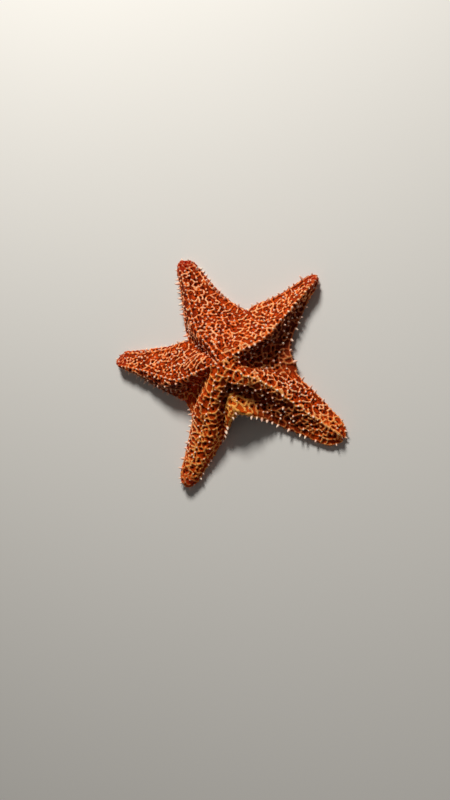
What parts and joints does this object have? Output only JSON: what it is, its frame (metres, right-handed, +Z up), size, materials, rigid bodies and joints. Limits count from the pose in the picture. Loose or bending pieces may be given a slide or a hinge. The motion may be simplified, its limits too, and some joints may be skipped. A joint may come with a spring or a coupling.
{
  "type": "starfish",
  "caption": "Five-armed cushion sea star with a raised disc, keeled tapering arms, blunt spines along keels and margins, and tube-foot grooves beneath.",
  "frame": {"origin": "on the floor, below the middle of the bounding box", "axes": "+Z up; the underside lies on the floor at Z = 0; +X towards the gap between the two right-hand arms, +Y towards the gap between the two back arms"},
  "size_m": [0.2364, 0.2284, 0.0458],
  "materials": {
    "skin": "red-orange skin with a raised net of yellow-orange ridges and pale blunt spines, matt",
    "sieve_plate": "finely grooved chalky plate, orange, matt",
    "mouth_skin": "pale flesh-coloured jaws and skin, satin"
  },
  "bodies": {
    "root": {"arm_back_right": "skin", "arm_back_left": "skin", "arm_left": "skin", "arm_front_left": "skin", "arm_front_right": "skin", "disc": "skin", "madreporite": "sieve_plate", "mouth": "mouth_skin"}
  },
  "joints": []
}
